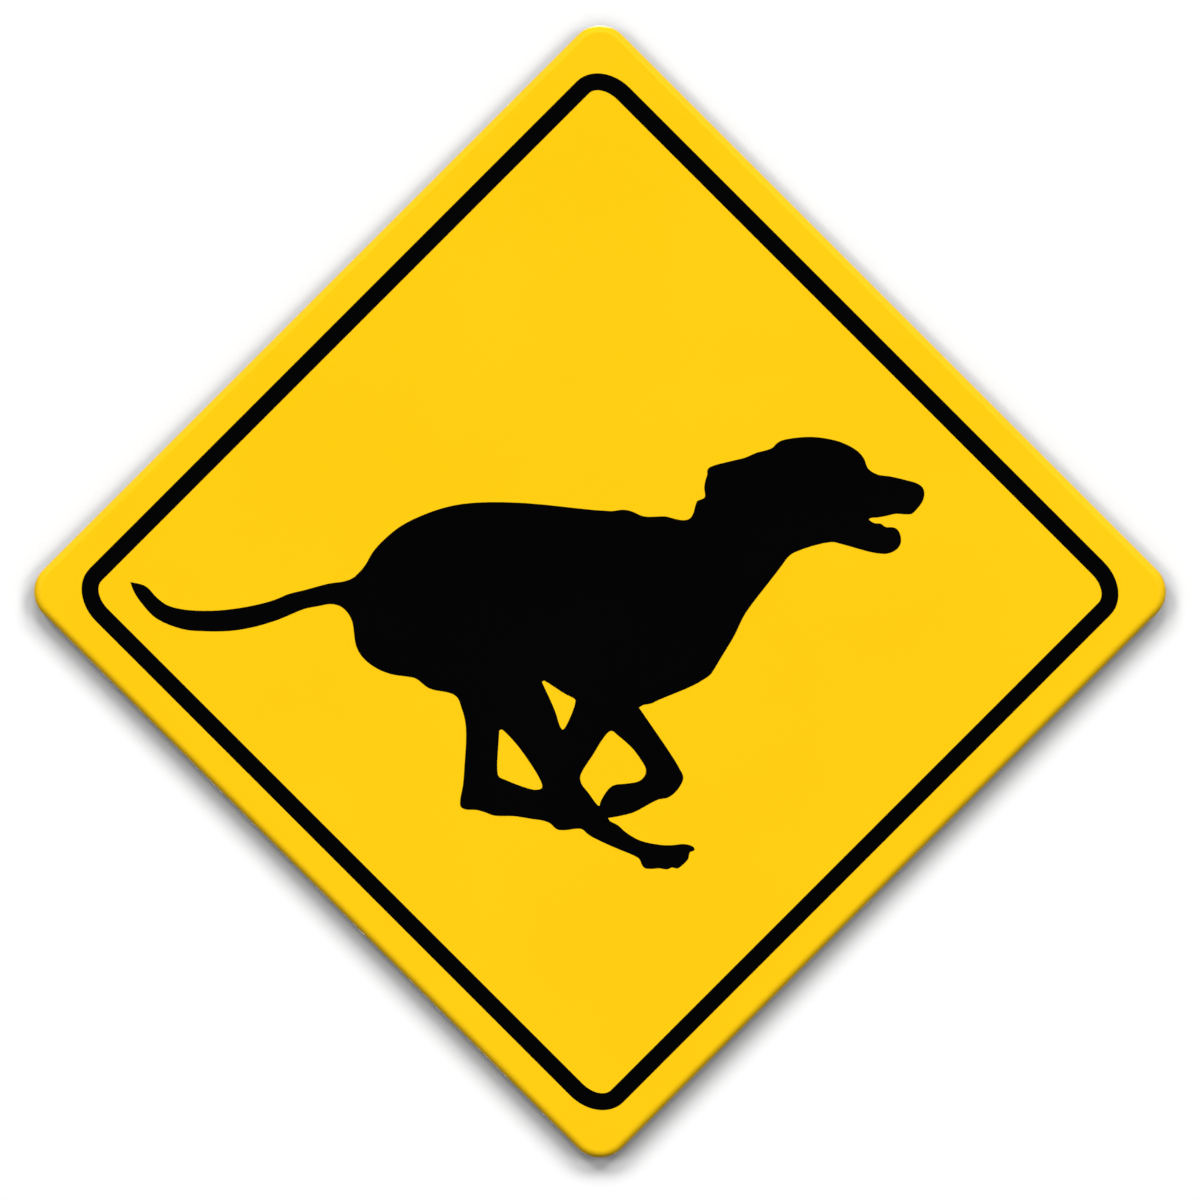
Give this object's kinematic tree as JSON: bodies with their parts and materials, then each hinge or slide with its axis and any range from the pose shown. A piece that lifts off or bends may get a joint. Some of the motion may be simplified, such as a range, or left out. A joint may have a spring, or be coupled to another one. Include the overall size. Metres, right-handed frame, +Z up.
{
  "type": "dog crossing sign",
  "caption": "Diamond warning sign: a running dog silhouette inside a thin line border, on a thin sheet plate with rounded corners and a turned-back rim.",
  "frame": {"origin": "centre of the flat back face of the panel, inside the rim", "axes": "+Z up the sign's upright diagonal, +Y straight out of its back, so the printed face looks towards -Y, +X to the right as seen from the front"},
  "size_m": [0.4214, 0.0041, 0.4214],
  "materials": {
    "yellow_coat": "satin yellow coat on the face and the outside of the rim, plain sheet behind",
    "black_film": "satin black film"
  },
  "bodies": {
    "root": {"sign_panel": "yellow_coat", "turned_rim": "yellow_coat", "border_line": "black_film", "running_dog": "black_film"}
  },
  "joints": []
}
